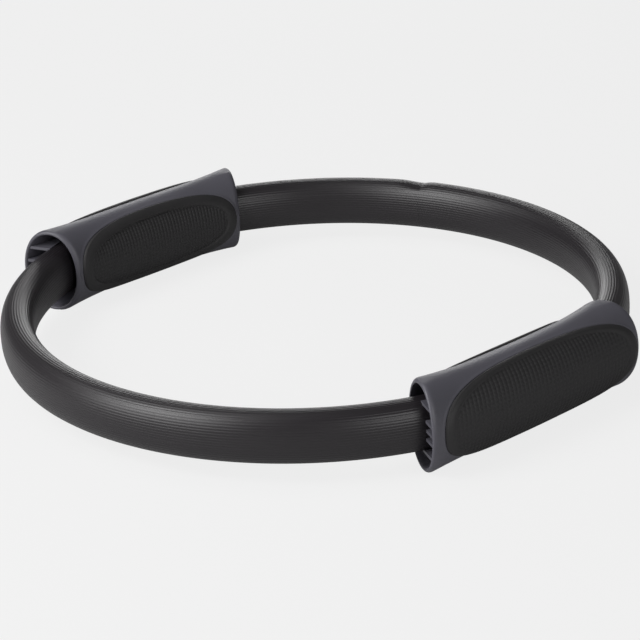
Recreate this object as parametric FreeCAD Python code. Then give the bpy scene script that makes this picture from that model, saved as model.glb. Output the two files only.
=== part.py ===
import FreeCAD, Part
import math
import os

from FreeCAD import Vector

os.makedirs("parts", exist_ok=True)

# A pilates ring: a sprung hoop between two padded handles. Millimetres, Z is the ring's axis,
# the origin is the ring's centre, the right handle lies on +X, the left handle on -X and the rear bow on +Y.

# Hoop: the sleeve's middle line is a circle about the origin
ring_radius = 180.0
sleeve_height = 30.9
sleeve_thickness = 20.8
sleeve_fullness = 2.5       # 2 is an ellipse, more is squarer
sleeve_entry = 24.0         # length of sleeve inside each mouth
seam_angle = 114.0          # butt seam in the rear sleeve, measured from the right handle
seam_gap = 0.3

# Spring: two bent strips, one inside the other where they lap in the handles
strip_width = 22.0
strip_thickness = 2.5
lap_setback = 11.0          # end of a lapped strip to the sleeve's end
lap_gap = 0.2               # between the two lapped strips
strip_clearance = 0.3       # strip to sleeve, clamp posts and rivets

# Rivets through each lap
rivet_radius = 1.75
rivet_head_radius = 3.5
rivet_head_height = 1.4
rivet_edge = 12.0           # rivet to the end of the strip

# Handle barrel: a waist, and flared oval mouths in planes through the ring's axis
handle_length = 150.4       # from mouth middle to mouth middle
handle_shift = 1.6          # handles' middles behind the ring's middle, as the front bow is the longer one
mouth_offset = 4.5          # mouth middle outside the hoop's middle line
mouth_width = 40.9
mouth_height = 54.8
waist_width = 34.5
waist_height = 48.9
barrel_fullness = 2.1
flare = 3.0                 # 1 opens evenly from the waist, more opens close to the mouths
wall = 3.0
wall_room = 1.0             # between the lapped strips' edges and the outer wall
rim_round = 1.1
parting_gap = 0.2
rest_cut = 0.8              # depth of the small flats under and over each mouth

# Ribs that hold the sleeve off the outer wall, in each mouth
rib_thickness = 1.8
rib_pitch = 5.4             # between the three middle ribs
rib_drop = 1.0              # top and bottom ribs, in from the sleeve's top and bottom
rib_length = 22.0
rib_setback = 0.8
rib_clearance = 0.35

# Posts that clamp the lapped strips in the middle of the handle
post_spacing = 28.0
post_width = 8.0
post_height = 18.0

# Screws that close the two half shells
screw_spacing = 66.0        # along the handle
boss_room = 2.0             # screw boss to the strips' edges
screw_radius = 1.5
screw_head_radius = 2.8
screw_head_height = 2.0
screw_clearance = 0.1
screw_bite = 7.0            # length in the outer shell
boss_radius = 3.3
pilot_spare = 0.5

# Pads, let into the shells
pad_recess = 1.4
pad_proud = 1.8             # at the crown
pad_edge = 1.3              # at the edge
pad_margin = 4.5            # grey band left at the mouths
top_strip = 15.4            # grey strip left between the pads, over and under the barrel
pad_fullness = 3.2
pad_clearance = 0.2

# Ring angles and radii that follow from the sizes above
mouth_radius = ring_radius + mouth_offset
mouth_y = handle_length / 2.0
mouth_turn = math.degrees(math.asin(mouth_y / mouth_radius))
mouth_x = math.sqrt(mouth_radius ** 2 - mouth_y ** 2)
sleeve_turn = mouth_turn - math.degrees(sleeve_entry / ring_radius)
lap_turn = sleeve_turn - math.degrees(lap_setback / ring_radius)
rivet_turn = lap_turn - math.degrees(rivet_edge / ring_radius)
front_strip_outside = ring_radius - lap_gap / 2.0
rear_strip_inside = ring_radius + lap_gap / 2.0
lap_inside = front_strip_outside - strip_thickness
lap_outside = rear_strip_inside + strip_thickness
screw_level = strip_width / 2.0 + boss_room + boss_radius
shift_turn = math.degrees(handle_shift * math.cos(math.radians(mouth_turn)) / ring_radius)

far = 2.0 * (ring_radius + mouth_width)     # reaches past everything
past_mouth = 1.05           # share of the half length that a cut runs to
behind_parting = 2.0
barrel_steps = 8
curve_points = 24
origin = Vector(0, 0, 0)
up = Vector(0, 0, 1)


def power(value, exponent):
    return math.copysign(abs(value) ** exponent, value)


def oval_points(half_width, half_height, fullness):
    points = []
    for i in range(curve_points):
        turn = 2.0 * math.pi * i / curve_points
        across = half_width * power(math.cos(turn), 2.0 / fullness)
        along = half_height * power(math.sin(turn), 2.0 / fullness)
        points.append((across, along))
    return points


def half_oval_points(half_width, half_height, fullness):
    points = []
    for i in range(curve_points // 2 + 1):
        turn = math.pi / 2.0 - 2.0 * math.pi * i / curve_points
        across = half_width * power(math.cos(turn), 2.0 / fullness)
        along = half_height * power(math.sin(turn), 2.0 / fullness)
        points.append((across, along))
    points[0] = (0.0, half_height)
    points[-1] = (0.0, -half_height)
    return points


def oval_reach(half_width, half_height, fullness, along):
    # How far an oval reaches across at a height above its middle
    return half_width * (1.0 - (along / half_height) ** fullness) ** (1.0 / fullness)


# The waist stands as far out as the outer wall needs to clear the lapped strips' edges
waist_x = lap_outside + wall_room - oval_reach(
    waist_width / 2.0 - wall, waist_height / 2.0 - wall, barrel_fullness, strip_width / 2.0
)


def closed_curve(points):
    curve = Part.BSplineCurve()
    curve.interpolate(Points=points, PeriodicFlag=True)
    return Part.Wire([curve.toShape()])


def turned(shape, degrees):
    copy = shape.copy()
    copy.rotate(origin, up, degrees)
    return copy


def mirrored(shape):
    return shape.mirror(origin, Vector(1, 0, 0))


def swept_round(face, start, end):
    return turned(face, start).revolve(origin, up, end - start)


def sector(radius, half_height, start, end):
    wedge = Part.makeCylinder(radius, 2.0 * half_height, Vector(0, 0, -half_height), up, end - start)
    return turned(wedge, start)


def block(low, high):
    size = high - low
    return Part.makeBox(size.x, size.y, size.z, low)


def rod(radius, start, end):
    direction = end - start
    return Part.makeCylinder(radius, direction.Length, start, direction)


# Sleeve and strip

def sleeve_face(grow):
    outline = oval_points(sleeve_thickness / 2.0 + grow, sleeve_height / 2.0 + grow, sleeve_fullness)
    return Part.Face(closed_curve([Vector(ring_radius + across, 0, along) for across, along in outline]))


def strip_face(inside, grow):
    low = Vector(inside - grow, 0, -strip_width / 2.0 - grow)
    width = strip_thickness + 2.0 * grow
    return Part.makePlane(width, strip_width + 2.0 * grow, low, Vector(0, -1, 0), Vector(1, 0, 0))


def sleeve(strip_inside, start, end):
    face = sleeve_face(0.0).cut(strip_face(strip_inside, strip_clearance)).Faces[0]
    return swept_round(face, start, end)


def rivet_places():
    return [shift_turn - rivet_turn, shift_turn + rivet_turn]


def strip(inside, middle, half_turn):
    band = swept_round(strip_face(inside, 0.0), middle - half_turn, middle + half_turn)
    hole = rod(rivet_radius + strip_clearance, Vector(ring_radius / 2.0, 0, 0), Vector(far, 0, 0))
    for turn in rivet_places():
        right_hole = turned(hole, turn)
        band = band.cut([right_hole, mirrored(right_hole)])
    return band


def rivets():
    head_inside = lap_inside - strip_clearance
    head_outside = lap_outside + strip_clearance
    inner_end = Vector(head_inside - rivet_head_height, 0, 0)
    outer_end = Vector(head_outside + rivet_head_height, 0, 0)
    rivet = rod(rivet_radius, inner_end, outer_end)
    rivet = rivet.fuse(rod(rivet_head_radius, inner_end, Vector(head_inside, 0, 0)))
    rivet = rivet.fuse(rod(rivet_head_radius, Vector(head_outside, 0, 0), outer_end))
    rivet = rivet.removeSplitter()
    return Part.makeCompound([turned(rivet, turn) for turn in rivet_places()])


# Handle, modelled on +X. Side 1 is its outer half and side -1 its inner half.

def barrel_section(place, waist_grow_width, waist_grow_height, mouth_grow):
    opening = abs(place) ** flare
    half_width = waist_width / 2.0 + waist_grow_width
    half_width += opening * ((mouth_width - waist_width) / 2.0 + mouth_grow - waist_grow_width)
    half_height = waist_height / 2.0 + waist_grow_height
    half_height += opening * ((mouth_height - waist_height) / 2.0 + mouth_grow - waist_grow_height)
    lean = math.radians(place * mouth_turn)
    middle = Vector(waist_x + (mouth_x - waist_x) * place ** 2, handle_shift + place * mouth_y, 0)
    outward = Vector(math.cos(lean), math.sin(lean), 0)
    return half_width, half_height, middle, outward


def barrel_places(reach):
    return [reach * (2.0 * i / barrel_steps - 1.0) for i in range(barrel_steps + 1)]


def whole_barrel(grow, reach):
    sections = []
    for place in barrel_places(reach):
        half_width, half_height, middle, outward = barrel_section(place, grow, grow, grow)
        ovals = oval_points(half_width, half_height, barrel_fullness)
        sections.append(closed_curve([middle + outward * across + up * along for across, along in ovals]))
    return Part.makeLoft(sections, True, False)


def half_barrel(side, waist_grow_width, waist_grow_height, mouth_grow, back):
    sections = []
    for place in barrel_places(past_mouth):
        section = barrel_section(place, waist_grow_width, waist_grow_height, mouth_grow)
        half_width, half_height, middle, outward = section
        outward = outward * side
        points = []
        for across, along in half_oval_points(half_width, half_height, barrel_fullness):
            points.append(middle + outward * across + up * along)
        curve = Part.BSplineCurve()
        curve.interpolate(Points=points, InitialTangent=outward, FinalTangent=-outward)
        low_corner = points[-1] - outward * back
        high_corner = points[0] - outward * back
        straight = Part.makePolygon([points[-1], low_corner, high_corner, points[0]])
        sections.append(Part.Wire([curve.toShape()] + straight.Edges))
    return Part.makeLoft(sections, True, False)


def even_half(side, grow, back):
    return half_barrel(side, grow, grow, grow, back)


def mouth_distance(point, side):
    lean = math.radians(side * mouth_turn)
    square = Vector(-math.sin(lean), math.cos(lean), 0)
    return abs((point - Vector(mouth_x, handle_shift + side * mouth_y, 0)).dot(square))


def round_rims(shell):
    near = 0.01
    rims = []
    for edge in shell.Edges:
        middle = edge.valueAt((edge.FirstParameter + edge.LastParameter) / 2.0)
        for side in (-1.0, 1.0):
            if mouth_distance(middle, side) < near:
                rims.append(edge)
    return shell.makeFillet(rim_round, rims)


def flats(shell):
    level = mouth_height / 2.0 - rest_cut
    for low, high in ((-far, -level), (level, far)):
        shell = shell.cut(block(Vector(0, -far, low), Vector(far, far, high)))
    return shell


def pad_edge_point():
    half_width = waist_width / 2.0
    half_height = waist_height / 2.0
    across = top_strip / 2.0
    along = oval_reach(half_height, half_width, barrel_fullness, across)
    square_across = across ** (barrel_fullness - 1.0) / half_width ** barrel_fullness
    square_along = along ** (barrel_fullness - 1.0) / half_height ** barrel_fullness
    return across, along, square_along / square_across


def pad_block(side, clearance):
    across, along, slope = pad_edge_point()
    face_y = mouth_y + side * waist_width / 2.0 * math.sin(math.radians(mouth_turn))
    half_length = face_y - pad_margin + clearance
    start = across / 2.0
    end = waist_width
    outlines = []
    for depth in (start, end):
        half_height = along + (depth - across) * slope + clearance
        points = [
            Vector(waist_x + side * depth, handle_shift + y, z)
            for y, z in oval_points(half_length, half_height, pad_fullness)
        ]
        outlines.append(closed_curve(points))
    return Part.makeLoft(outlines, True, True)


def pad(side):
    face = half_barrel(side, pad_proud, pad_edge, pad_edge, behind_parting)
    seat = even_half(side, pad_clearance - pad_recess, behind_parting)
    return face.cut(seat).common(pad_block(side, 0.0))


def pad_pocket(side):
    floor = even_half(side, -pad_recess, behind_parting)
    return pad_block(side, pad_clearance).cut(floor)


def half_space(side):
    edge = waist_x + side * parting_gap / 2.0
    if side > 0:
        return block(Vector(edge, -far, -far), Vector(far, far, far))
    return block(Vector(0, -far, -far), Vector(edge, far, far))


def mouth_ribs(root):
    ribs = []
    clear = swept_round(sleeve_face(rib_clearance), -90.0, 90.0)
    rib_turn = math.degrees(rib_length / ring_radius)
    setback = math.degrees(rib_setback / ring_radius)
    end_level = sleeve_height / 2.0 - rib_drop
    levels = (-end_level, -rib_pitch, 0.0, rib_pitch, end_level)
    inside = sector(ring_radius, mouth_height, -90.0, 90.0)
    for start in (mouth_turn - rib_turn, setback - mouth_turn):
        start += shift_turn
        zone = sector(far, mouth_height, start, start + rib_turn - setback)
        for level in levels:
            low = Vector(waist_x + parting_gap / 2.0, -far, level - rib_thickness / 2.0)
            slab = block(low, Vector(far, far, level + rib_thickness / 2.0))
            ribs.append(slab.common(root).common(zone).cut(clear).cut(inside))
    return ribs


def posts(side, root):
    made = []
    gripped = lap_outside + strip_clearance if side > 0 else lap_inside - strip_clearance
    drum = sector(gripped, waist_height, -90.0, 90.0)
    for side_place in (-post_spacing / 2.0, post_spacing / 2.0):
        place = handle_shift + side_place
        low = Vector(mouth_x / 2.0, place - post_width / 2.0, -post_height / 2.0)
        post = block(low, Vector(far, place + post_width / 2.0, post_height / 2.0)).common(root)
        made.append(post.cut(drum) if side > 0 else post.common(drum))
    return made


def screw_places():
    ys = (handle_shift - screw_spacing / 2.0, handle_shift + screw_spacing / 2.0)
    return [(y, z) for y in ys for z in (-screw_level, screw_level)]


def screw_head_x():
    # The head sits just under the pad's seat, at the lowest point of its own edge
    edge = screw_level + screw_head_radius + screw_clearance
    return waist_x - oval_reach(
        waist_width / 2.0 - pad_recess, waist_height / 2.0 - pad_recess, barrel_fullness, edge
    )


def bosses(side, root):
    made = []
    for y, z in screw_places():
        start = Vector(waist_x + side * parting_gap / 2.0, y, z)
        made.append(rod(boss_radius, start, start + Vector(side * waist_width, 0, 0)).common(root))
    return made


def screw_holes(side):
    holes = []
    for y, z in screw_places():
        seat = Vector(screw_head_x() + screw_head_height, y, z)
        tip = Vector(waist_x + screw_bite + pilot_spare, y, z)
        holes.append(rod(screw_radius + screw_clearance, seat, tip))
        if side < 0:
            outside = Vector(waist_x - waist_width, y, z)
            holes.append(rod(screw_head_radius + screw_clearance, outside, seat))
    return holes


def screws():
    made = []
    for y, z in screw_places():
        head = Vector(screw_head_x(), y, z)
        seat = head + Vector(screw_head_height, 0, 0)
        tip = Vector(waist_x + screw_bite, y, z)
        screw = rod(screw_head_radius, head, seat).fuse(rod(screw_radius, seat, tip))
        made.append(screw.removeSplitter())
    return Part.makeCompound(made)


def half_shell(side, barrel):
    root = even_half(side, -wall / 2.0, waist_width)
    inside = posts(side, root) + bosses(side, root)
    if side > 0:
        inside += mouth_ribs(root)
    shell = barrel.common(half_space(side)).cut(pad_pocket(side))
    return shell.fuse(inside).cut(screw_holes(side))


# Assembly

parts = {}
seam_half = math.degrees(seam_gap / 2.0 / ring_radius)
front_end = shift_turn - sleeve_turn
rear_end = shift_turn + sleeve_turn
parts["front_sleeve"] = sleeve(lap_inside, -180.0 - front_end, front_end)
parts["rear_sleeve_right"] = sleeve(rear_strip_inside, rear_end, seam_angle - seam_half)
parts["rear_sleeve_left"] = sleeve(rear_strip_inside, seam_angle + seam_half, 180.0 - rear_end)
parts["front_strip"] = strip(lap_inside, -90.0, 90.0 + lap_turn + shift_turn)
parts["rear_strip"] = strip(rear_strip_inside, 90.0, 90.0 + lap_turn - shift_turn)

barrel = flats(round_rims(whole_barrel(0.0, 1.0).cut(whole_barrel(-wall, past_mouth))))
handle_pieces = {
    "outer_shell": half_shell(1.0, barrel),
    "inner_shell": half_shell(-1.0, barrel),
    "outer_pad": pad(1.0),
    "inner_pad": pad(-1.0),
    "shell_screws": screws(),
    "strip_rivets": rivets(),
}
for name, shape in handle_pieces.items():
    parts["right_" + name] = shape
    parts["left_" + name] = mirrored(shape)

for name, shape in parts.items():
    shape.exportStep(os.path.join("parts", name + ".step"))
    box = shape.optimalBoundingBox()
    size = "{:.1f} x {:.1f} x {:.1f} mm".format(box.XLength, box.YLength, box.ZLength)
    volume = "{:.1f} cm3".format(shape.Volume / 1000.0)
    print(name, len(shape.Solids), "solids", size, volume, shape.isValid())
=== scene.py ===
import math

import bmesh
import bpy
from mathutils import Matrix, Vector


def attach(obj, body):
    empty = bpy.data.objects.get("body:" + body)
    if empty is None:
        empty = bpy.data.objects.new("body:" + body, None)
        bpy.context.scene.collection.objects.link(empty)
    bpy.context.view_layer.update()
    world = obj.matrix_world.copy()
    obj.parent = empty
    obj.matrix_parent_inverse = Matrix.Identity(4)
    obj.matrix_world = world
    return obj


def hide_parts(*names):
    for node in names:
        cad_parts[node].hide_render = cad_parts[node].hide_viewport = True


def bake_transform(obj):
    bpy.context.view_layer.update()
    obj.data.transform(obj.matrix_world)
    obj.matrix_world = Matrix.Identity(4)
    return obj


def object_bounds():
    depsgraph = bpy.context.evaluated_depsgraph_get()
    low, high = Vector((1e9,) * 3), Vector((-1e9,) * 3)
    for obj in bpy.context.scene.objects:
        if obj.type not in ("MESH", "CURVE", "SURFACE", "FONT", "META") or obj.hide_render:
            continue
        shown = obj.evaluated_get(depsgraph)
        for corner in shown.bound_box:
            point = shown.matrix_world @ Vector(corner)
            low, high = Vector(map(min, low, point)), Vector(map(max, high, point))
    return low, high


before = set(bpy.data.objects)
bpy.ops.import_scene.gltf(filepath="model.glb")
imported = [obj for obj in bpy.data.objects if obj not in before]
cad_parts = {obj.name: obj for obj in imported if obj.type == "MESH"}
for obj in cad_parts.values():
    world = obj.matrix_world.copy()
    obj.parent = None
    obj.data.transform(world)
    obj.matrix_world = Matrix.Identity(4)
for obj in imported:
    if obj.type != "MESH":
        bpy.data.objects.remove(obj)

cadLow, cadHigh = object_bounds()
scene = bpy.context.scene
scene.view_settings.view_transform = "Standard"
mm = 0.001
hoopBody = "left_handle_and_hoop"
rightBody = "right_handle"
print("frame loaded:", len(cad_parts), "nodes")


# small helpers

def power(value, exponent):
    return math.copysign(abs(value) ** exponent, value)


def ease(value):
    value = min(max(value, 0.0), 1.0)
    return value * value * (3.0 - 2.0 * value)


def hexColour(code):
    parts = [int(code[i:i + 2], 16) / 255.0 for i in (1, 3, 5)]
    return [p / 12.92 if p <= 0.04045 else ((p + 0.055) / 1.055) ** 2.4 for p in parts] + [1.0]


def addNode(tree, kind, inputs=None, **settings):
    node = tree.nodes.new(kind)
    for key, value in settings.items():
        setattr(node, key, value)
    for key, value in (inputs or {}).items():
        if isinstance(value, bpy.types.NodeSocket):
            tree.links.new(value, node.inputs[key])
        else:
            node.inputs[key].default_value = value
    return node


def newMaterial(name):
    made = bpy.data.materials.new(name)
    made.use_nodes = True
    made.node_tree.nodes.clear()
    return made, made.node_tree


def closeMaterial(tree, shader):
    addNode(tree, "ShaderNodeOutputMaterial", {"Surface": shader.outputs[0]})


def meshObject(bm, name, material, sharpAngle):
    bmesh.ops.recalc_face_normals(bm, faces=bm.faces[:])
    mesh = bpy.data.meshes.new(name)
    bm.to_mesh(mesh)
    bm.free()
    for polygon in mesh.polygons:
        polygon.use_smooth = True
    mesh.set_sharp_from_angle(angle=math.radians(sharpAngle))
    mesh.materials.append(material)
    piece = bpy.data.objects.new(name, mesh)
    scene.collection.objects.link(piece)
    return piece


# materials; a noise scale of 1000 makes a pattern about 1 mm across

shellFinish = {
    "dark": "#4d4c53", "light": "#53525a", "roughLow": 0.40, "roughHigh": 0.52, "specular": 0.5,
    "cloudScale": 45.0,  # patches of 22 mm
    "grainScale": 1400.0, "grainDepth": 0.05, "grainStrength": 0.25,  # pits of 0.7 mm, coarser than real ones
}
sleeveFinish = {
    "dark": "#1c191c", "light": "#221f22", "roughLow": 0.32, "roughHigh": 0.42, "specular": 0.5,
    "streakScale": (6.0, 900.0, 1.0),  # streaks of 170 mm by 1.1 mm
    "grainScale": 900.0, "grainDepth": 0.05, "grainStrength": 0.2,  # grain of 1.1 mm
}
padFinish = {
    "dark": "#222122", "light": "#2a292a", "roughLow": 0.5, "roughHigh": 0.66, "specular": 0.42,
    "dustScale": 70.0,  # patches of 14 mm
    "grainScale": 1100.0, "grainDepth": 0.06, "grainStrength": 0.3,  # grain of 0.9 mm
}
stripFinish = {
    "dark": "#a59a6c", "light": "#c4ba90", "rough": 0.35,
    "fibreScale": (8.0, 1500.0, 1.0),  # bundles of 125 mm by 0.7 mm, coarser than real ones, to show
}
steelFinish = {
    "colour": "#b9bbbd", "roughLow": 0.25, "roughHigh": 0.42, "cloudScale": 400.0,  # clouds of 2.5 mm
}


def mouldedPlastic(finish):  # grey shells: matt spark-eroded grain, a soft sheen that dulls unevenly
    made, tree = newMaterial("greyMouldedPlastic")
    place = addNode(tree, "ShaderNodeTexCoord").outputs["Object"]
    cloud = addNode(tree, "ShaderNodeTexNoise", {
        "Vector": place, "Scale": finish["cloudScale"], "Detail": 3.0})
    tint = addNode(tree, "ShaderNodeMix", {
        "Factor": cloud.outputs["Fac"], "A": hexColour(finish["dark"]), "B": hexColour(finish["light"]),
    }, data_type="RGBA")
    dull = addNode(tree, "ShaderNodeMapRange", {
        "Value": cloud.outputs["Fac"], "To Min": finish["roughLow"], "To Max": finish["roughHigh"]})
    grain = addNode(tree, "ShaderNodeTexNoise", {
        "Vector": place, "Scale": finish["grainScale"], "Detail": 2.0})
    relief = addNode(tree, "ShaderNodeBump", {
        "Height": grain.outputs["Fac"], "Strength": finish["grainStrength"],
        "Distance": finish["grainDepth"] * mm})
    shader = addNode(tree, "ShaderNodeBsdfPrincipled", {
        "Base Color": tint.outputs["Result"], "Roughness": dull.outputs["Result"],
        "Normal": relief.outputs["Normal"], "Specular IOR Level": finish["specular"]})
    closeMaterial(tree, shader)
    return made


def extrudedRubber(finish):  # hoop sleeve: charcoal rubber with faint die streaks along its length
    made, tree = newMaterial("charcoalExtrudedRubber")
    along = addNode(tree, "ShaderNodeUVMap", uv_map="sleeveLength")
    drawn = addNode(tree, "ShaderNodeMapping", {
        "Vector": along.outputs["UV"], "Scale": finish["streakScale"]})
    streak = addNode(tree, "ShaderNodeTexNoise", {
        "Vector": drawn.outputs["Vector"], "Scale": 1.0, "Detail": 3.0})
    tint = addNode(tree, "ShaderNodeMix", {
        "Factor": streak.outputs["Fac"], "A": hexColour(finish["dark"]), "B": hexColour(finish["light"]),
    }, data_type="RGBA")
    dull = addNode(tree, "ShaderNodeMapRange", {
        "Value": streak.outputs["Fac"], "To Min": finish["roughLow"], "To Max": finish["roughHigh"]})
    place = addNode(tree, "ShaderNodeTexCoord").outputs["Object"]
    grain = addNode(tree, "ShaderNodeTexNoise", {
        "Vector": place, "Scale": finish["grainScale"], "Detail": 2.0})
    relief = addNode(tree, "ShaderNodeBump", {
        "Height": grain.outputs["Fac"], "Strength": finish["grainStrength"],
        "Distance": finish["grainDepth"] * mm})
    shader = addNode(tree, "ShaderNodeBsdfPrincipled", {
        "Base Color": tint.outputs["Result"], "Roughness": dull.outputs["Result"],
        "Normal": relief.outputs["Normal"], "Specular IOR Level": finish["specular"]})
    closeMaterial(tree, shader)
    return made


def gripRubber(finish):  # pads: soft black rubber, dry to the eye, a little dusty
    made, tree = newMaterial("blackGripRubber")
    place = addNode(tree, "ShaderNodeTexCoord").outputs["Object"]
    dust = addNode(tree, "ShaderNodeTexNoise", {
        "Vector": place, "Scale": finish["dustScale"], "Detail": 4.0})
    tint = addNode(tree, "ShaderNodeMix", {
        "Factor": dust.outputs["Fac"], "A": hexColour(finish["dark"]), "B": hexColour(finish["light"]),
    }, data_type="RGBA")
    dull = addNode(tree, "ShaderNodeMapRange", {
        "Value": dust.outputs["Fac"], "To Min": finish["roughLow"], "To Max": finish["roughHigh"]})
    grain = addNode(tree, "ShaderNodeTexNoise", {
        "Vector": place, "Scale": finish["grainScale"], "Detail": 3.0})
    relief = addNode(tree, "ShaderNodeBump", {
        "Height": grain.outputs["Fac"], "Strength": finish["grainStrength"],
        "Distance": finish["grainDepth"] * mm})
    shader = addNode(tree, "ShaderNodeBsdfPrincipled", {
        "Base Color": tint.outputs["Result"], "Roughness": dull.outputs["Result"],
        "Normal": relief.outputs["Normal"], "Specular IOR Level": finish["specular"]})
    closeMaterial(tree, shader)
    return made


def glassFibre(finish):  # spring strips: straw-coloured laminate with fine fibres lengthwise
    made, tree = newMaterial("strawGlassFibre")
    along = addNode(tree, "ShaderNodeUVMap", uv_map="sleeveLength")
    drawn = addNode(tree, "ShaderNodeMapping", {
        "Vector": along.outputs["UV"], "Scale": finish["fibreScale"]})
    fibre = addNode(tree, "ShaderNodeTexNoise", {
        "Vector": drawn.outputs["Vector"], "Scale": 1.0, "Detail": 4.0})
    tint = addNode(tree, "ShaderNodeMix", {
        "Factor": fibre.outputs["Fac"], "A": hexColour(finish["dark"]), "B": hexColour(finish["light"]),
    }, data_type="RGBA")
    shader = addNode(tree, "ShaderNodeBsdfPrincipled", {
        "Base Color": tint.outputs["Result"], "Roughness": finish["rough"]})
    closeMaterial(tree, shader)
    return made


def platedSteel(finish):  # screws and rivets: zinc plate, slightly clouded
    made, tree = newMaterial("zincPlatedSteel")
    place = addNode(tree, "ShaderNodeTexCoord").outputs["Object"]
    cloud = addNode(tree, "ShaderNodeTexNoise", {
        "Vector": place, "Scale": finish["cloudScale"], "Detail": 3.0})
    dull = addNode(tree, "ShaderNodeMapRange", {
        "Value": cloud.outputs["Fac"], "To Min": finish["roughLow"], "To Max": finish["roughHigh"]})
    shader = addNode(tree, "ShaderNodeBsdfPrincipled", {
        "Base Color": hexColour(finish["colour"]), "Metallic": 1.0, "Roughness": dull.outputs["Result"]})
    closeMaterial(tree, shader)
    return made


shellPlastic = mouldedPlastic(shellFinish)
sleeveRubber = extrudedRubber(sleeveFinish)
padRubber = gripRubber(padFinish)
stripFibre = glassFibre(stripFinish)
zincSteel = platedSteel(steelFinish)
print("materials made")


# handle barrel, shared by shells and pads; lengths in mm on the +X handle

handle = {
    "ringRadius": 180.0, "mouthRadius": 184.5, "mouthY": 75.5, "shift": 1.6, "waistX": 171.14,
    "waistHalfWidth": 17.5, "waistHalfHeight": 24.8, "growWidth": 3.15, "growHeight": 2.8, "flare": 3.0,
    "fullness": 2.1, "wall": 3.0, "flatLevel": 26.6, "partingHalf": 0.01,
}
mouthTurn = math.asin(handle["mouthY"] / handle["mouthRadius"])
mouthX = handle["mouthRadius"] * math.cos(mouthTurn)


def barrelPoint(side, s, angle):
    opening = abs(s) ** handle["flare"]
    halfWidth = handle["waistHalfWidth"] + opening * handle["growWidth"]
    halfHeight = handle["waistHalfHeight"] + opening * handle["growHeight"]
    across = halfWidth * power(math.cos(angle), 2.0 / handle["fullness"])
    level = halfHeight * power(math.sin(angle), 2.0 / handle["fullness"])
    across = max(across, handle["partingHalf"]) * side
    lean = s * mouthTurn
    middle = handle["waistX"] + (mouthX - handle["waistX"]) * s * s
    along = handle["shift"] + s * handle["mouthY"]
    return Vector((middle + across * math.cos(lean), along + across * math.sin(lean), level))


def barrelSkin(side, s, angle, lift):  # a point at that height over the barrel
    if abs(lift) < 1e-9:
        return barrelPoint(side, s, angle)
    step = 0.01
    nearRim = min(max(s, step - 1.0), 1.0 - step)
    nearSeam = min(max(angle, step - math.pi / 2.0), math.pi / 2.0 - step)
    alongSlope = barrelPoint(side, nearRim + step, nearSeam) - barrelPoint(side, nearRim - step, nearSeam)
    roundSlope = barrelPoint(side, nearRim, nearSeam + step) - barrelPoint(side, nearRim, nearSeam - step)
    square = alongSlope.cross(roundSlope).normalized() * side
    if abs(s) > 0.965:  # at a mouth the wall stays in the mouth's own plane
        lean = s * mouthTurn
        mouthSquare = Vector((-math.sin(lean), math.cos(lean), 0.0))
        square = (square - mouthSquare * square.dot(mouthSquare)).normalized()
    return barrelPoint(side, s, angle) + square * lift


def placeHand(bm, hand):  # the left handle mirrors the right one
    made = bm.copy()
    facing = 1.0 if hand == "right" else -1.0
    bmesh.ops.scale(made, vec=(facing * mm, mm, mm), verts=made.verts[:])
    return made


def newVerts(made):
    return [g for g in made["geom"] if isinstance(g, bmesh.types.BMVert)]


# pads' outlines, as shares of the barrel's length and degrees round it

padOutlines = {
    "outer": {"side": 1.0, "reach": 0.93, "middle": 0.03, "spread": 69.4, "fullness": 2.3, "border": 4.2,
              "borderEnds": 6.0, "step": 0.45},
    "inner": {"side": -1.0, "reach": 0.95, "middle": 0.0, "spread": 64.2, "fullness": 2.1, "border": 7.6,
              "borderEnds": 8.6, "step": 1.0},
}


def padReach(outline, turn):
    fullness = outline["fullness"]
    c, s = math.cos(turn), math.sin(turn)
    radius = (abs(c) ** fullness + abs(s) ** fullness) ** (-1.0 / fullness)
    return outline["middle"] + radius * c * outline["reach"], radius * s * math.radians(outline["spread"])


def edgeReach(turn, pull):  # the half shell's own edge: mouths and parting line
    c, s = math.cos(turn), math.sin(turn)
    radius = 1.0 / max(abs(c), abs(s))
    return radius * c * (1.0 - pull / handle["mouthY"]), radius * s * math.pi / 2.0


# half shells: floor of the pad's seat, raised lip, land, rounded rim, inside wall

shellForm = {
    "around": 240, "seatDepth": 1.4, "hubShare": 0.15, "lipRise": 0.28, "lipReach": 2.4, "rimPull": 3.4,
    "floorRings": 4, "landRings": 10, "wallRings": 9, "sharpAngle": 38.0,
    "seatWall": ((0.0, -1.3), (0.0, -0.2)),  # out from the pad, height
    "lipCurve": ((0.1, 0.3), (0.35, 0.85), (0.75, 1.0), (1.3, 0.7), (1.85, 0.22)),  # out, share of lipRise
    "rimCurve": ((2.3, -0.12), (1.25, -0.48), (0.5, -1.05), (0.1, -1.65), (0.0, -2.1)),  # in from rim, height
    "rimInside": ((0.0, 0.65), (0.2, 0.2), (0.7, 0.0)),  # in from rim, height over the inside wall
}


def shellRings():
    form = shellForm
    seat, wall, hub = -form["seatDepth"], -handle["wall"], form["hubShare"]
    count = form["floorRings"]
    rings = [("pad", hub + (1.0 - hub) * i / count, seat) for i in range(1, count)]
    rings += [("pad", 0.995, seat)]  # just short of the seat's corner
    rings += [("lip", out, height) for out, height in form["seatWall"]]
    rings += [("lip", out, share * form["lipRise"]) for out, share in form["lipCurve"]]
    count = form["landRings"]
    rings += [("land", i / count, 0.0) for i in range(count + 1)]
    rings += [("rim", inward, height) for inward, height in form["rimCurve"]]
    rings += [("rim", inward, wall + height) for inward, height in form["rimInside"]]
    count = form["wallRings"]
    rings += [("wall", 1.0 - i / count, wall) for i in range(count)]
    return rings


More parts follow.
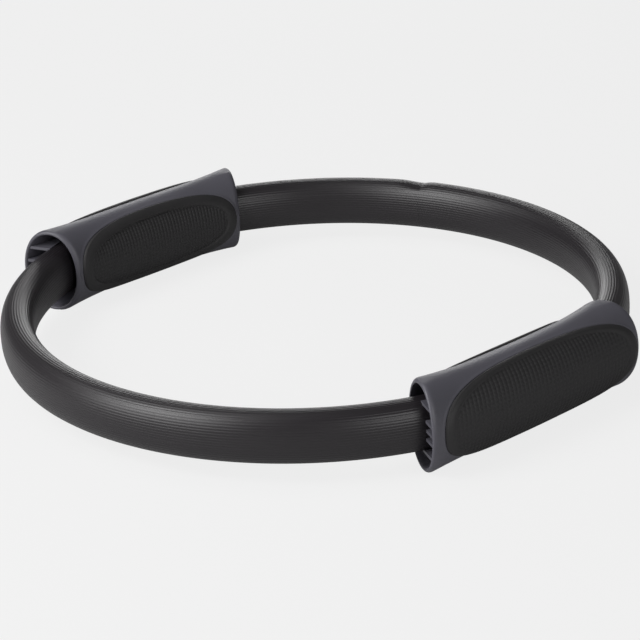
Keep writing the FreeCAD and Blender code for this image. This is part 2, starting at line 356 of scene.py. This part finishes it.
def shellSpot(outline, turn, ring):
    zone, amount, lift = ring
    side = outline["side"]
    pad, edge = padReach(outline, turn), edgeReach(turn, shellForm["rimPull"])
    if zone == "pad":
        middle = outline["middle"]
        spot = (middle + (pad[0] - middle) * amount, pad[1] * amount)
    elif zone == "rim":
        spot = edgeReach(turn, amount)
    elif zone == "wall":
        spot = (edge[0] * amount, edge[1] * amount)
    else:
        span = (barrelPoint(side, *edge) - barrelPoint(side, *pad)).length
        first = shellForm["lipReach"] / span
        share = amount / span if zone == "lip" else first + (1.0 - first) * amount
        spot = (pad[0] + (edge[0] - pad[0]) * share, pad[1] + (edge[1] - pad[1]) * share)
    point = barrelSkin(side, spot[0], spot[1], lift)
    point.z = min(max(point.z, -handle["flatLevel"]), handle["flatLevel"])
    return point


mouthRibs = {
    "levels": (-14.45, -5.4, 0.0, 5.4, 14.45), "thickness": 1.8, "length": 22.0, "setback": 0.8, "gap": 0.35,
    "sleeveHalfHeight": 15.45, "sleeveHalfWidth": 10.4, "sleeveFullness": 2.5,
    "sink": 0.6,  # root's depth in the wall, as a share of it
    "least": 0.5,  # least height of a rib
    "bow": 3.0,  # the barrel's curved half is that much longer than mouthY
    "columns": 10, "rows": 2,
}


def addMouthRibs(bm):  # five fins in each mouth, from the outer wall to just short of the sleeve
    form = mouthRibs
    thick = form["thickness"]
    for end in (-1.0, 1.0):
        for level in form["levels"]:
            fin = bmesh.ops.create_grid(
                bm, x_segments=form["columns"], y_segments=form["rows"], size=1.0)["verts"]
            topShare = min(1.0, (abs(level) + thick / 2.0) / (form["sleeveHalfHeight"] + form["gap"]))
            sleeveReach = (1.0 - topShare ** form["sleeveFullness"]) ** (1.0 / form["sleeveFullness"])
            clear = handle["ringRadius"] + (form["sleeveHalfWidth"] + form["gap"]) * sleeveReach
            for v in fin:
                depth = form["setback"] + (0.5 + 0.5 * v.co.x) * (form["length"] - form["setback"])
                s = end * (1.0 - depth / (handle["mouthY"] + form["bow"]))
                halfHeight = handle["waistHalfHeight"] + abs(s) ** handle["flare"] * handle["growHeight"]
                angle = math.asin(power(level / halfHeight, handle["fullness"] / 2.0))
                wallSpot = barrelSkin(1.0, s, angle, -form["sink"] * handle["wall"])
                flat = Vector((wallSpot.x, wallSpot.y, 0.0))
                near = flat.normalized() * min(clear, flat.length - form["least"])
                spot = near.lerp(flat, 0.5 + 0.5 * v.co.y)
                v.co = Vector((spot.x, spot.y, level - thick / 2.0))
            faces = list({f for v in fin for f in v.link_faces})
            raised = newVerts(bmesh.ops.extrude_face_region(bm, geom=faces))
            bmesh.ops.translate(bm, verts=raised, vec=(0.0, 0.0, thick))


def shellMesh(half):
    outline = padOutlines[half]
    count = shellForm["around"]
    bm = bmesh.new()
    around = bm.verts.layers.int.new("around")
    disc = bmesh.ops.create_circle(bm, cap_ends=True, cap_tris=True, radius=1.0, segments=count)["verts"]
    for v in disc:
        if v.co.length < 0.5:
            v.co = barrelSkin(outline["side"], 0.0, 0.0, -shellForm["seatDepth"])
            continue
        v[around] = round(math.atan2(v.co.y, v.co.x) / (2.0 * math.pi) * count) % count
        hub = ("pad", shellForm["hubShare"], -shellForm["seatDepth"])
        v.co = shellSpot(outline, 2.0 * math.pi * v[around] / count, hub)
    edges = [e for e in bm.edges if e.is_boundary]
    for ring in shellRings():
        grown = bmesh.ops.extrude_edge_only(bm, edges=edges)
        verts = set(newVerts(grown))
        for v in verts:
            v.co = shellSpot(outline, 2.0 * math.pi * v[around] / count, ring)
        lines = [g for g in grown["geom"] if isinstance(g, bmesh.types.BMEdge)]
        edges = [e for e in lines if verts.issuperset(e.verts)]
    last = newVerts(bmesh.ops.extrude_edge_only(bm, edges=edges))
    bmesh.ops.pointmerge(bm, verts=last, merge_co=barrelSkin(outline["side"], 0.0, 0.0, -handle["wall"]))
    if half == "outer":
        addMouthRibs(bm)
    return bm


# pads: a thick rounded border round a sunk face of fine crossed grooves

padForm = {
    "lines": 52, "lineColumns": 6, "crosses": 24, "crossRows": 5, "lineDepth": 0.34, "crossDepth": 0.22,
    "grooveHalf": 0.25,  # half a groove's width, as a share of its pitch
    "seat": -1.2, "edgeRise": 0.6, "edgeTop": 1.65, "edgeRound": 1.3, "borderTop": 2.35,
    "borderHump": 0.75,  # the border rises, then turns down by this share of a half wave
    "stepRun": 0.7, "crown": 0.65, "crownRun": 8.0, "sharpAngle": 50.0,
    "lengthScale": 80.0, "roundScale": 23.0,  # mm to a whole share of length, and to a radian round
    "columnLimit": 0.9995,  # keeps the outline's last column open
}


def padInward(outline, s, angle):  # distance in from the pad's edge, and how far that edge is an end
    fullness, reach, spread = outline["fullness"], outline["reach"], math.radians(outline["spread"])
    a, b = max(abs(s - outline["middle"]) / reach, 1e-3), max(abs(angle) / spread, 1e-3)
    radius = (a ** fullness + b ** fullness) ** (1.0 / fullness)
    perAlong = (a / radius) ** (fullness - 1.0) / reach / padForm["lengthScale"]
    perRound = (b / radius) ** (fullness - 1.0) / spread / padForm["roundScale"]
    return (1.0 - radius) / math.hypot(perAlong, perRound), perAlong ** 2 / (perAlong ** 2 + perRound ** 2)


def groove(share, count):  # 1 in the bottom of a groove, 0 on the land between
    away = abs((share * 0.5 + 0.5) * count - round((share * 0.5 + 0.5) * count))
    return max(0.0, 1.0 - away / padForm["grooveHalf"])


def padRise(outline, s, angle):
    form = padForm
    inward, endShare = padInward(outline, s, angle)
    border = outline["border"] + (outline["borderEnds"] - outline["border"]) * endShare
    corner = min(max(inward / form["edgeRound"], 0.0), 1.0)
    climb = min(max((inward - form["edgeRound"]) / (border - form["edgeRound"]), 0.0), 1.0)
    rise = form["edgeRise"] + (form["edgeTop"] - form["edgeRise"]) * math.sin(corner * math.pi / 2.0)
    rise += (form["borderTop"] - form["edgeTop"]) * math.sin(climb * math.pi * form["borderHump"])
    inside = inward - border
    if inside <= 0.0:
        return rise
    rise += form["crown"] * (1.0 - math.exp(-inside / form["crownRun"]))
    rise -= outline["step"] * ease(inside / form["stepRun"])
    line = form["lineDepth"] * groove((s - outline["middle"]) / outline["reach"], form["lines"])
    cross = form["crossDepth"] * groove(angle / math.radians(outline["spread"]), form["crosses"])
    return rise - ease((inside - 0.5 * form["stepRun"]) / form["stepRun"]) * max(line, cross)


def padRow(outline, share, column):  # rows run level on the face and crowd together in the border
    spread = math.radians(outline["spread"])
    edge = spread * (1.0 - abs(column) ** outline["fullness"]) ** (1.0 / outline["fullness"])
    face = max(edge - outline["border"] / padForm["roundScale"], 0.0)
    angle = abs(share) * spread
    if angle > face:
        angle = face + (edge - face) * (angle - face) / (spread - face)
    return math.copysign(angle, share)


def padMesh(half):
    outline = padOutlines[half]
    side = outline["side"]
    bm = bmesh.new()
    along = bm.verts.layers.float.new("along")
    aside = bm.verts.layers.float.new("aside")
    bmesh.ops.create_grid(bm, x_segments=padForm["lines"] * padForm["lineColumns"],
                          y_segments=padForm["crosses"] * padForm["crossRows"], size=1.0)
    for v in bm.verts:
        v[along] = outline["middle"] + v.co.x * outline["reach"]
        v[aside] = padRow(outline, v.co.y, min(max(v.co.x, -padForm["columnLimit"]), padForm["columnLimit"]))
        v.co = barrelSkin(side, v[along], v[aside], padForm["seat"])
    for v in newVerts(bmesh.ops.extrude_face_region(bm, geom=bm.faces[:])):
        v.co = barrelSkin(side, v[along], v[aside], padRise(outline, v[along], v[aside]))
    return bm


def makeHandles():
    for half in ("outer", "inner"):
        shell, pad = shellMesh(half), padMesh(half)
        for hand, body in (("right", rightBody), ("left", hoopBody)):
            name = hand + half.capitalize()
            piece = meshObject(placeHand(shell, hand), name + "Shell", shellPlastic, shellForm["sharpAngle"])
            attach(piece, body)
            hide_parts(hand + "_" + half + "_shell")
            piece = meshObject(placeHand(pad, hand), name + "Pad", padRubber, padForm["sharpAngle"])
            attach(piece, body)
            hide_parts(hand + "_" + half + "_pad")
        shell.free()
        pad.free()
        print(half, "shells and pads made")


makeHandles()


# hoop: three lengths of ribbed sleeve over two spring strips

hoop = {
    "radius": 180.0, "halfWidth": 10.4, "halfHeight": 15.45, "fullness": 2.5, "step": 1.0,
    "ribs": 52, "ribSteps": 6, "ribDepth": 0.13, "ribRound": 0.8, "sleeveSharp": 70.0, "outlineSteps": 2880,
    "sleeveEntry": 24.0, "seam": 114.0, "seamGap": 0.04, "dipFrom": 12.0, "dipRun": 3.0,
    "seamDipLeft": 1.3, "seamRunLeft": 17.0, "seamDipRight": 1.0, "seamRunRight": 5.0,
    "stripHalfWidth": 1.25, "stripHalfHeight": 11.0, "stripFullness": 12.5, "stripRoom": 0.3,
    "stripSteps": 48, "stripGirth": 49.0, "stripSharp": 40.0,
    "frontStrip": 178.65, "rearStrip": 181.35, "lapSetback": 11.0,
}
sleeveTurn = math.degrees(mouthTurn) - math.degrees(hoop["sleeveEntry"] / hoop["radius"])
lapTurn = sleeveTurn - math.degrees(hoop["lapSetback"] / hoop["radius"])
shiftTurn = math.degrees(handle["shift"] * math.cos(mouthTurn) / hoop["radius"])


def sleeveOutline():  # the oval cut into even steps, with its outward direction
    fine = hoop["outlineSteps"]
    spots = []
    for i in range(fine):
        t = 2.0 * math.pi * i / fine
        spots.append(Vector((hoop["halfWidth"] * power(math.cos(t), 2.0 / hoop["fullness"]),
                             hoop["halfHeight"] * power(math.sin(t), 2.0 / hoop["fullness"]))))
    run = [0.0]
    for i in range(fine):
        run.append(run[-1] + (spots[(i + 1) % fine] - spots[i]).length)
    count = hoop["ribs"] * hoop["ribSteps"]
    even = []
    i = 0
    for k in range(count):
        while run[i + 1] < run[-1] * k / count:
            i += 1
        share = (run[-1] * k / count - run[i]) / (run[i + 1] - run[i])
        tangent = (spots[(i + 1) % fine] - spots[i]).normalized()
        even.append((spots[i].lerp(spots[(i + 1) % fine], share), Vector((tangent.y, -tangent.x))))
    return even, run[-1]


ovalSpots, ovalRun = sleeveOutline()


def sleeveSpot(index):
    spot, outward = ovalSpots[index]
    ridge = abs(math.sin(math.pi * index / hoop["ribSteps"])) ** hoop["ribRound"]
    return spot - outward * hoop["ribDepth"] * (1.0 - ridge)


def stripSpot(index, room):
    turn = 2.0 * math.pi * index / hoop["stripSteps"]
    exponent = 2.0 / hoop["stripFullness"]
    return Vector(((hoop["stripHalfWidth"] + room) * power(math.cos(turn), exponent),
                   (hoop["stripHalfHeight"] + room) * power(math.sin(turn), exponent)))


def seamDip(turn):  # the sleeve's top sinks a little into the butt joint
    away = math.radians(turn - hoop["seam"]) * hoop["radius"]
    if away > 0.0:
        return hoop["seamDipLeft"] * (1.0 - ease(away / hoop["seamRunLeft"]))
    return hoop["seamDipRight"] * (1.0 - ease(-away / hoop["seamRunRight"]))


def addLengthMap(bm, around, roundRun):
    lengthMap = bm.loops.layers.uv.new("sleeveLength")
    for face in bm.faces:
        turns = [math.degrees(math.atan2(loop.vert.co.y, loop.vert.co.x)) for loop in face.loops]
        wrap = max(turns) - min(turns) > 180.0
        shares = [loop.vert[around] for loop in face.loops]
        jump = max(shares) - min(shares) > 0.5
        for loop, turn, share in zip(face.loops, turns, shares):
            turn += 360.0 if wrap and turn < 0.0 else 0.0
            share += 1.0 if jump and share < 0.5 else 0.0
            loop[lengthMap].uv = (math.radians(turn) * hoop["radius"] * mm, share * roundRun * mm)


def spinLoop(bm, around, spotAt, count, middle, start, end):
    ring = bmesh.ops.create_circle(bm, cap_ends=False, radius=1.0, segments=count)["verts"]
    for v in ring:
        index = round(math.atan2(v.co.y, v.co.x) / (2.0 * math.pi) * count) % count
        v[around] = index / count
        spot = spotAt(index)
        v.co = Vector((middle + spot.x, 0.0, spot.y))
    bmesh.ops.rotate(bm, cent=(0, 0, 0), matrix=Matrix.Rotation(math.radians(start), 3, "Z"), verts=ring)
    first = list({e for v in ring for e in v.link_edges})
    steps = max(8, round((end - start) / hoop["step"]))
    swept = bmesh.ops.spin(bm, geom=ring + first, cent=(0, 0, 0), axis=(0, 0, 1),
                           angle=math.radians(end - start), steps=steps, use_merge=False)["geom_last"]
    return first, [g for g in swept if isinstance(g, bmesh.types.BMEdge)]


def bendWithHoop(piece):
    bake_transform(piece)


def makeSleeve(name, node, stripMiddle, start, end):
    bm = bmesh.new()
    around = bm.verts.layers.float.new("around")
    count = hoop["ribs"] * hoop["ribSteps"]
    outerFirst, outerLast = spinLoop(bm, around, sleeveSpot, count, hoop["radius"], start, end)
    slotSpot = lambda index: stripSpot(index, hoop["stripRoom"])
    slotFirst, slotLast = spinLoop(bm, around, slotSpot, hoop["stripSteps"], stripMiddle, start, end)
    bmesh.ops.bridge_loops(bm, edges=outerFirst + slotFirst)
    bmesh.ops.bridge_loops(bm, edges=outerLast + slotLast)
    for v in bm.verts:
        turn = math.degrees(math.atan2(v.co.y, v.co.x))
        if turn > 0.0 and v.co.z > hoop["dipFrom"]:
            v.co.z -= seamDip(turn) * ease((v.co.z - hoop["dipFrom"]) / hoop["dipRun"])
    addLengthMap(bm, around, ovalRun)
    bmesh.ops.scale(bm, vec=(mm, mm, mm), verts=bm.verts[:])
    piece = meshObject(bm, name, sleeveRubber, hoop["sleeveSharp"])
    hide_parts(node)
    bendWithHoop(piece)


def makeStrip(name, node, middle, start, end):
    bm = bmesh.new()
    around = bm.verts.layers.float.new("around")
    spot = lambda index: stripSpot(index, 0.0)
    first, last = spinLoop(bm, around, spot, hoop["stripSteps"], middle, start, end)
    bmesh.ops.contextual_create(bm, geom=first)
    bmesh.ops.contextual_create(bm, geom=last)
    addLengthMap(bm, around, hoop["stripGirth"])
    bmesh.ops.scale(bm, vec=(mm, mm, mm), verts=bm.verts[:])
    piece = meshObject(bm, name, stripFibre, hoop["stripSharp"])
    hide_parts(node)
    bendWithHoop(piece)


seamHalf = math.degrees(hoop["seamGap"] / 2.0 / hoop["radius"])
frontEnd, rearEnd = shiftTurn - sleeveTurn, shiftTurn + sleeveTurn
frontLap, rearLap = shiftTurn + lapTurn, shiftTurn - lapTurn
makeSleeve("frontSleeve", "front_sleeve", hoop["frontStrip"], -180.0 - frontEnd, frontEnd)
makeSleeve("rearSleeveRight", "rear_sleeve_right", hoop["rearStrip"], rearEnd, hoop["seam"] - seamHalf)
makeSleeve("rearSleeveLeft", "rear_sleeve_left", hoop["rearStrip"], hoop["seam"] + seamHalf, 180.0 - rearEnd)
makeStrip("frontStrip", "front_strip", hoop["frontStrip"], -180.0 - frontLap, frontLap)
makeStrip("rearStrip", "rear_strip", hoop["rearStrip"], rearLap, 180.0 - rearLap)
print("hoop made")

for name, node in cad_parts.items():
    if name.endswith(("_screws", "_rivets")):
        node.data.materials.clear()
        node.data.materials.append(zincSteel)
print("fasteners finished")


# floor, backdrop and soft light

studio = {
    "background": "#f8f8f8", "floor": "#bebebe", "floorHalf": 8.0, "ambient": 0.1,
    "keep": 0.86,  # share of plain background on the floor; the rest keeps the shadow
    "floorSheen": 0.12, "airSheen": 0.05,  # share of it that the ring's gloss meets
}
lamps = {  # metres and watts; all aim at the ring's middle
    "keySoftbox": {"place": (-0.31, -1.01, 1.06), "width": 0.75, "height": 0.6, "watts": 12.5},
    "frontSoftbox": {"place": (-0.18, -1.29, 0.45), "width": 1.1, "height": 0.85, "watts": 10.5},
    "topSoftbox": {"place": (-0.6, -0.28, 1.24), "width": 0.5, "height": 0.9, "watts": 3.0},
    "backCard": {"place": (-0.97, 0.83, 0.26), "width": 0.7, "height": 0.4, "watts": 2.8},
    "rightCard": {"place": (1.31, -0.23, 0.43), "width": 0.7, "height": 0.7, "watts": 5.0},
}


def backgroundShare(tree, direct, sheen):  # how much of the plain background a ray meets
    path = addNode(tree, "ShaderNodeLightPath").outputs
    seen = addNode(tree, "ShaderNodeMath", {
        0: path["Is Camera Ray"], 1: path["Is Transmission Ray"]}, operation="MAXIMUM")
    plain = addNode(tree, "ShaderNodeMath", {0: seen.outputs[0], 1: direct}, operation="MULTIPLY")
    glossy = addNode(tree, "ShaderNodeMath", {0: path["Is Glossy Ray"], 1: sheen}, operation="MULTIPLY")
    share = addNode(tree, "ShaderNodeMath", {0: plain.outputs[0], 1: glossy.outputs[0]}, operation="MAXIMUM")
    return share.outputs[0]


def makeFloor():
    made, tree = newMaterial("paleFloor")
    share = backgroundShare(tree, studio["keep"], studio["floorSheen"])
    matt = addNode(tree, "ShaderNodeBsdfDiffuse", {"Color": hexColour(studio["floor"])})
    glow = addNode(tree, "ShaderNodeEmission", {"Color": hexColour(studio["background"]), "Strength": 1.0})
    both = addNode(tree, "ShaderNodeMixShader", {0: share, 1: matt.outputs[0], 2: glow.outputs[0]})
    closeMaterial(tree, both)
    bm = bmesh.new()
    bmesh.ops.create_grid(bm, x_segments=1, y_segments=1, size=studio["floorHalf"])
    bmesh.ops.translate(bm, verts=bm.verts[:], vec=(0.0, 0.0, cadLow.z))
    floor = meshObject(bm, "floor", made, 30.0)


def makeWorld():
    world = bpy.data.worlds.new("studioAir")
    scene.world = world
    world.use_nodes = True
    tree = world.node_tree
    tree.nodes.clear()
    share = backgroundShare(tree, 1.0, studio["airSheen"])
    air = addNode(tree, "ShaderNodeBackground", {
        "Color": hexColour("#ffffff"), "Strength": studio["ambient"]})
    back = addNode(tree, "ShaderNodeBackground", {"Color": hexColour(studio["background"]), "Strength": 1.0})
    both = addNode(tree, "ShaderNodeMixShader", {0: share, 1: air.outputs[0], 2: back.outputs[0]})
    addNode(tree, "ShaderNodeOutputWorld", {"Surface": both.outputs[0]})


def addLamp(name, form):
    data = bpy.data.lights.new(name, "AREA")
    data.shape = "RECTANGLE"
    data.size = form["width"]
    data.size_y = form["height"]
    data.energy = form["watts"]
    lamp = bpy.data.objects.new(name, data)
    lamp.location = form["place"]
    lamp.rotation_euler = (-Vector(form["place"])).to_track_quat("-Z", "Y").to_euler()
    scene.collection.objects.link(lamp)


makeFloor()
makeWorld()
for lampName, lampForm in lamps.items():
    addLamp(lampName, lampForm)
print("studio made")


# camera, as the photograph was taken

shot = {  # degrees, mm; the clips in metres
    "azimuth": 48.992, "elevation": 23.342, "roll": -2.999, "distance": 1566.34,
    "aside": 2.865, "above": -8.78, "lens": 144.822, "sensor": 36.0, "clipStart": 0.01, "clipEnd": 50.0,
}


def makeCamera():
    a, e, r = (math.radians(shot[k]) for k in ("azimuth", "elevation", "roll"))
    back = Vector((math.sin(a) * math.cos(e), -math.cos(a) * math.cos(e), math.sin(e)))
    right = Vector((math.cos(a), math.sin(a), 0.0))
    up = back.cross(right)
    eye = (right * shot["aside"] + up * shot["above"] + back * shot["distance"]) * mm
    turnedRight = right * math.cos(r) + up * math.sin(r)
    turnedUp = up * math.cos(r) - right * math.sin(r)
    data = bpy.data.cameras.new("shotCamera")
    data.lens = shot["lens"]
    data.sensor_width = shot["sensor"]
    data.clip_start = shot["clipStart"]
    data.clip_end = shot["clipEnd"]
    camera = bpy.data.objects.new("shotCamera", data)
    pose = Matrix((turnedRight, turnedUp, back)).transposed().to_4x4()
    pose.translation = eye
    camera.matrix_world = pose
    scene.collection.objects.link(camera)
    scene.camera = camera


makeCamera()
print("camera set")
